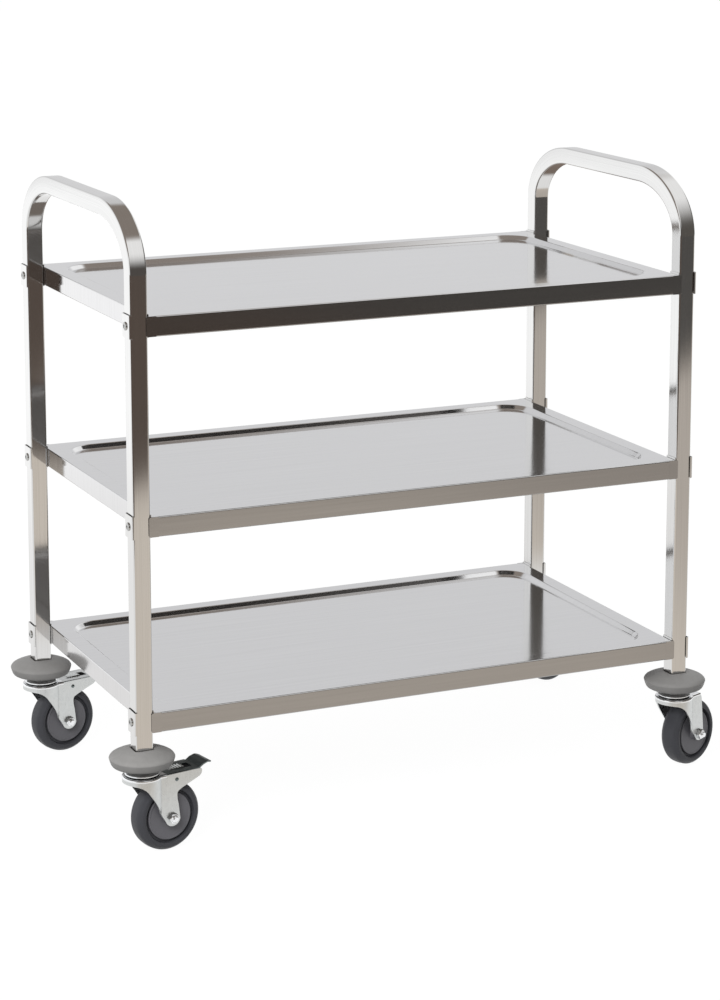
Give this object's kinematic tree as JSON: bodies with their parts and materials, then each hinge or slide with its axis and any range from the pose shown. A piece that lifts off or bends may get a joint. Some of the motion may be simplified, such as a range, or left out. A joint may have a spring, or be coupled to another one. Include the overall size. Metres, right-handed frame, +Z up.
{
  "type": "serving cart",
  "caption": "Steel serving cart: rimmed trays on bent square-tube end frames, with swivel casters, rubber bumpers and brakes on one side.",
  "frame": {"origin": "on the floor, at the middle of the cart's footprint with its casters trailing as stored", "axes": "+X along the trays towards the right-hand end frame, +Y from the front of the cart to its back, +Z up"},
  "size_m": [0.971, 0.5424, 0.9],
  "materials": {
    "brushed_stainless": "brushed, satin to semi-gloss, grain along the tube",
    "polished_stainless": "finely brushed, near-mirror sheet, grain along the tray",
    "bright_steel": "bright plated fasteners and swivel races",
    "zinc_plate": "bright zinc-plated pressed steel",
    "bumper_rubber": "matt warm grey rubber",
    "tyre_rubber": "satin dark grey tread",
    "hub_plastic": "matt dark grey moulded plastic"
  },
  "bodies": {
    "cart": {"end_frame_left": "brushed_stainless", "end_frame_right": "brushed_stainless", "tray_top": "polished_stainless", "tray_middle": "polished_stainless", "tray_bottom": "polished_stainless", "cover_plate_top_front_left": "brushed_stainless", "cover_plate_top_front_right": "brushed_stainless", "cover_plate_top_back_left": "brushed_stainless", "cover_plate_top_back_right": "brushed_stainless", "cover_plate_middle_front_left": "brushed_stainless", "cover_plate_middle_front_right": "brushed_stainless", "cover_plate_middle_back_left": "brushed_stainless", "cover_plate_middle_back_right": "brushed_stainless", "cover_plate_bottom_front_left": "brushed_stainless", "cover_plate_bottom_front_right": "brushed_stainless", "cover_plate_bottom_back_left": "brushed_stainless", "cover_plate_bottom_back_right": "brushed_stainless", "screw_top_front_left": "bright_steel", "screw_top_front_right": "bright_steel", "screw_top_back_left": "bright_steel", "screw_top_back_right": "bright_steel", "screw_middle_front_left": "bright_steel", "screw_middle_front_right": "bright_steel", "screw_middle_back_left": "bright_steel", "screw_middle_back_right": "bright_steel", "screw_bottom_front_left": "bright_steel", "screw_bottom_front_right": "bright_steel", "screw_bottom_back_left": "bright_steel", "screw_bottom_back_right": "bright_steel", "bumper_front_left": "bumper_rubber", "caster_stem_front_left": "bright_steel", "bumper_front_right": "bumper_rubber", "caster_stem_front_right": "bright_steel", "bumper_back_left": "bumper_rubber", "caster_stem_back_left": "bright_steel", "bumper_back_right": "bumper_rubber", "caster_stem_back_right": "bright_steel"},
    "caster_front_left": {"ball_ring_front_left": "bright_steel", "fork_front_left": "zinc_plate", "axle_bolt_front_left": "bright_steel"},
    "wheel_front_left": {"tyre_front_left": "tyre_rubber", "hub_front_left": "hub_plastic"},
    "pedal_front_left": {"brake_pedal_front_left": "zinc_plate"},
    "caster_front_right": {"ball_ring_front_right": "bright_steel", "fork_front_right": "zinc_plate", "axle_bolt_front_right": "bright_steel"},
    "wheel_front_right": {"tyre_front_right": "tyre_rubber", "hub_front_right": "hub_plastic"},
    "caster_back_left": {"ball_ring_back_left": "bright_steel", "fork_back_left": "zinc_plate", "axle_bolt_back_left": "bright_steel"},
    "wheel_back_left": {"tyre_back_left": "tyre_rubber", "hub_back_left": "hub_plastic"},
    "pedal_back_left": {"brake_pedal_back_left": "zinc_plate"},
    "caster_back_right": {"ball_ring_back_right": "bright_steel", "fork_back_right": "zinc_plate", "axle_bolt_back_right": "bright_steel"},
    "wheel_back_right": {"tyre_back_right": "tyre_rubber", "hub_back_right": "hub_plastic"}
  },
  "joints": [
    {"name": "swivel_front_left", "type": "hinge", "parent": "cart", "child": "caster_front_left", "pos_m": [-0.4398, -0.2255, 0.118], "axis": [0, 0, 1], "continuous": true},
    {"name": "roll_front_left", "type": "hinge", "parent": "caster_front_left", "child": "wheel_front_left", "pos_m": [-0.40543, -0.21888, 0.05], "axis": [-0.1891, 0.982, 0], "continuous": true},
    {"name": "brake_front_left", "type": "hinge", "parent": "caster_front_left", "child": "pedal_front_left", "pos_m": [-0.39856, -0.21756, 0.104], "axis": [-0.1891, 0.982, 0], "range_deg": [0, 8]},
    {"name": "swivel_front_right", "type": "hinge", "parent": "cart", "child": "caster_front_right", "pos_m": [0.4032, -0.2255, 0.118], "axis": [0, 0, 1], "continuous": true},
    {"name": "roll_front_right", "type": "hinge", "parent": "caster_front_right", "child": "wheel_front_right", "pos_m": [0.43554, -0.21211, 0.05], "axis": [-0.3827, 0.9239, 0], "continuous": true},
    {"name": "swivel_back_left", "type": "hinge", "parent": "cart", "child": "caster_back_left", "pos_m": [-0.4398, 0.2255, 0.118], "axis": [0, 0, 1], "continuous": true},
    {"name": "roll_back_left", "type": "hinge", "parent": "caster_back_left", "child": "wheel_back_left", "pos_m": [-0.40559, 0.2329, 0.05], "axis": [-0.2113, 0.9774, 0], "continuous": true},
    {"name": "brake_back_left", "type": "hinge", "parent": "caster_back_left", "child": "pedal_back_left", "pos_m": [-0.39875, 0.23438, 0.104], "axis": [-0.2113, 0.9774, 0], "range_deg": [0, 8]},
    {"name": "swivel_back_right", "type": "hinge", "parent": "cart", "child": "caster_back_right", "pos_m": [0.4032, 0.2255, 0.118], "axis": [0, 0, 1], "continuous": true},
    {"name": "roll_back_right", "type": "hinge", "parent": "caster_back_right", "child": "wheel_back_right", "pos_m": [0.43649, 0.23632, 0.05], "axis": [-0.309, 0.9511, 0], "continuous": true}
  ]
}
